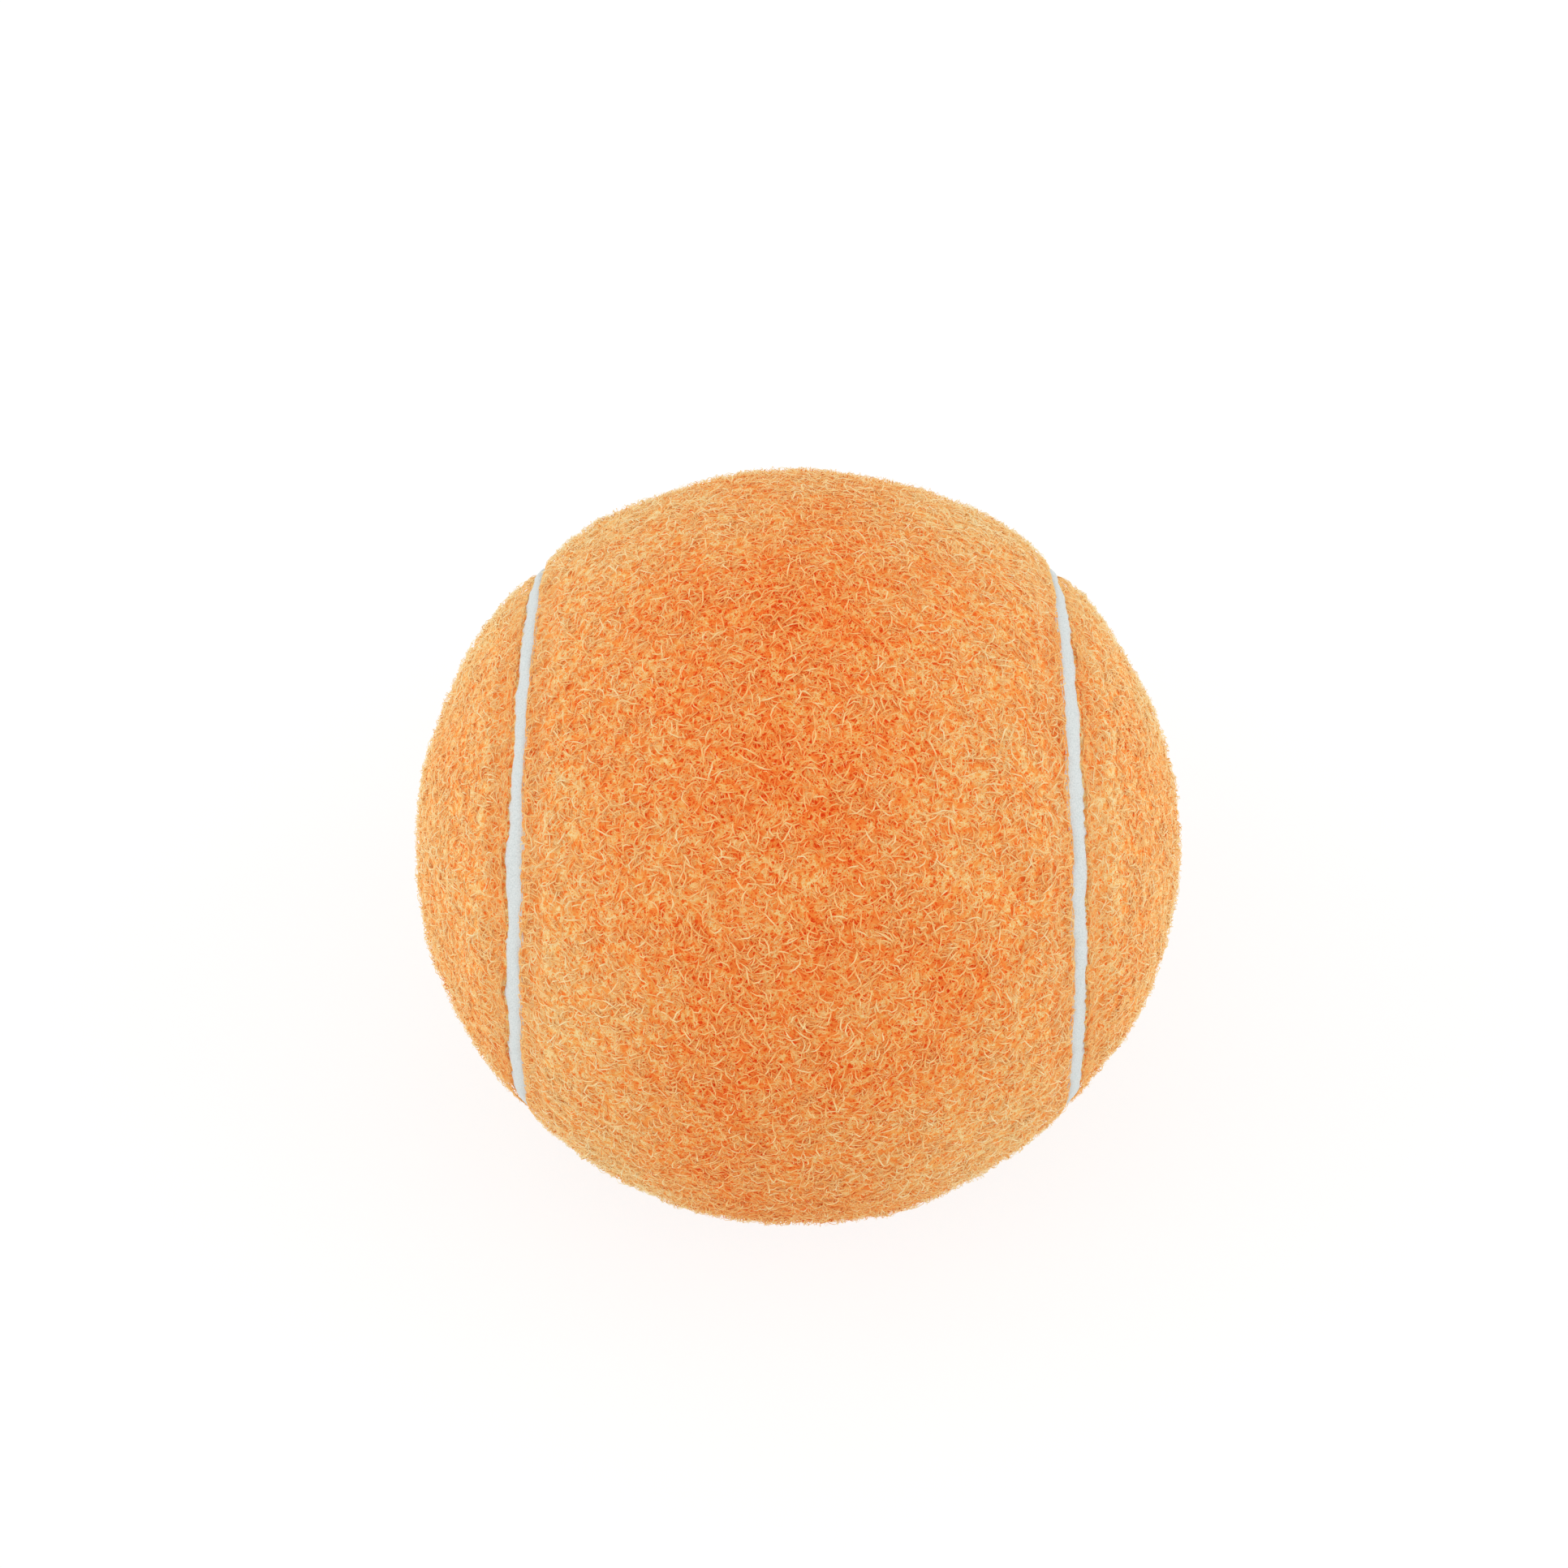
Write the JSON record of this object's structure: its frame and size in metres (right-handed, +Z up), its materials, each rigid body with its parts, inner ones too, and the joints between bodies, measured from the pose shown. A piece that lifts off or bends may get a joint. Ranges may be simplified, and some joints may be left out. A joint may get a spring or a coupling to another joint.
{
  "type": "tennis ball",
  "caption": "Felt-covered hollow rubber ball: cemented core halves under interlocking dumbbell felt panels with a pale recessed seam.",
  "frame": {"origin": "centre of the ball", "axes": "+Z up through the middle of the upper felt panel's waist; the upper panel's lobes wrap over +Y and -Y, the lower panel's over +X and -X"},
  "size_m": [0.066, 0.066, 0.066],
  "materials": {
    "core_rubber": "moulded, matt",
    "cement": "brushed-on rubber cement, satin",
    "backing": "spread coat on cloth, matt",
    "felt": "napped wool and nylon felt",
    "seam": "cured white rubber cement, matt"
  },
  "bodies": {
    "root": {"core_half_upper": "core_rubber", "core_half_lower": "core_rubber", "core_joint_cement": "cement", "core_cement_coat": "cement", "panel_backing_upper": "backing", "panel_backing_lower": "backing", "felt_panel_upper": "felt", "felt_panel_lower": "felt", "seam_cement": "seam"}
  },
  "joints": []
}
